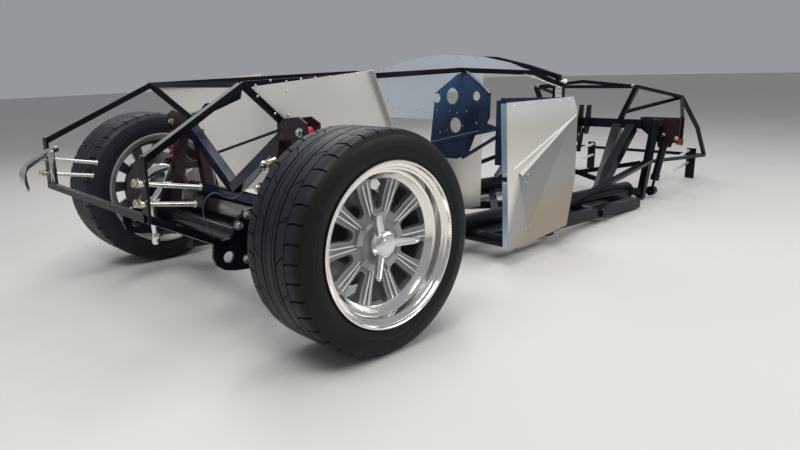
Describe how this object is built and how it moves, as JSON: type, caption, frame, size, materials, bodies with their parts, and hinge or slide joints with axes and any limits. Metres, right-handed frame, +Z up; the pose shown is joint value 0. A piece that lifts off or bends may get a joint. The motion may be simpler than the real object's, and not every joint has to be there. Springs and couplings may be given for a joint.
{
  "type": "rolling chassis of a roadster kit car",
  "caption": "Tubular roadster kit-car chassis with bare sheet panels, steered front wheels and hanging rear dampers, resting on its front tyres and rail ends.",
  "frame": {"origin": "on the floor, under the middle of the whole part's box", "axes": "+X to the car's nose, +Y to its left, +Z up from the floor; the frame itself sits nose up by 2.6 degrees, because its rear rail ends rest on the floor"},
  "size_m": [3.769, 1.6906, 0.8394],
  "materials": {
    "black_gloss": "gloss black powder coat with a blue cast in the highlights",
    "blue_black_steel": "smooth blue-black coat on folded steel",
    "bare_sheet": "bare mill-finish sheet, faint rolling grain",
    "polished_alloy": "polished lip, grey painted spokes",
    "cast_aluminium": "satin cast aluminium",
    "disc_iron": "turned iron",
    "tyre_rubber": "matt black rubber",
    "zinc_steel": "zinc-plated steel with a warm tint",
    "polished_steel": "polished flat steel",
    "red_anodised": "black spring with red anodised caps"
  },
  "bodies": {
    "chassis": {"main_rails": "black_gloss", "front_crossmember": "black_gloss", "tower_left": "black_gloss", "tower_right": "black_gloss", "v_brace": "black_gloss", "nose_frame": "black_gloss", "top_rails": "black_gloss", "outriggers": "black_gloss", "floor_cross_member": "black_gloss", "cockpit_sides": "black_gloss", "dash_hoop": "black_gloss", "deck_hoop": "black_gloss", "rear_axle_frame": "black_gloss", "tail_frame": "black_gloss", "rear_damper_plates": "black_gloss", "front_coil_overs": "red_anodised", "rear_dampers": "black_gloss", "upper_arm_left": "black_gloss", "upper_arm_right": "black_gloss", "lower_arm_left": "black_gloss", "lower_arm_right": "black_gloss", "rack_housing": "cast_aluminium", "bay_panel_left": "bare_sheet", "bay_panel_right": "bare_sheet", "firewall": "bare_sheet", "pedal_plate": "blue_black_steel", "footbox_lower_brace": "blue_black_steel", "footbox_outer_panel": "bare_sheet", "footbox_inner_panel": "bare_sheet", "front_jack_bolts": "zinc_steel", "rear_jack_bolts": "zinc_steel", "bonnet_hinges": "polished_steel"},
    "steering_rack": {"rack_bar": "zinc_steel"},
    "knuckle_left_body": {"knuckle_left": "cast_aluminium", "caliper_left": "cast_aluminium"},
    "knuckle_right_body": {"knuckle_right": "cast_aluminium", "caliper_right": "cast_aluminium"},
    "wheel_left_body": {"tyre_left": "tyre_rubber", "rim_left": "polished_alloy", "brake_disc_left": "disc_iron", "wheel_nut_left": "polished_alloy"},
    "wheel_right_body": {"tyre_right": "tyre_rubber", "rim_right": "polished_alloy", "brake_disc_right": "disc_iron", "wheel_nut_right": "polished_alloy"}
  },
  "joints": [
    {"name": "steer_left", "type": "hinge", "parent": "chassis", "child": "knuckle_left_body", "pos_m": [1.30754, 0.592, 0.20539], "axis": [-0.1318, -0.1134, 0.9848], "range_deg": [-30, 30]},
    {"name": "steer_right", "type": "hinge", "parent": "chassis", "child": "knuckle_right_body", "pos_m": [1.30754, -0.592, 0.20539], "axis": [-0.1318, 0.1134, 0.9848], "range_deg": [-30.5, 30.5]},
    {"name": "rack_slide", "type": "slide", "parent": "chassis", "child": "steering_rack", "axis": [0, 1, 0], "range_m": [-0.0635, 0.0635]},
    {"name": "spin_left", "type": "hinge", "parent": "knuckle_left_body", "child": "wheel_left_body", "pos_m": [1.29645, 0.7175, 0.318], "axis": [0, 1, 0], "continuous": true},
    {"name": "spin_right", "type": "hinge", "parent": "knuckle_right_body", "child": "wheel_right_body", "pos_m": [1.29645, -0.7175, 0.318], "axis": [0, 1, 0], "continuous": true}
  ],
  "couplings": [
    {"joint": "steer_right", "follows": "steer_left", "ratio": 1},
    {"joint": "rack_slide", "follows": "steer_left", "m_per_rad": 0.115}
  ]
}
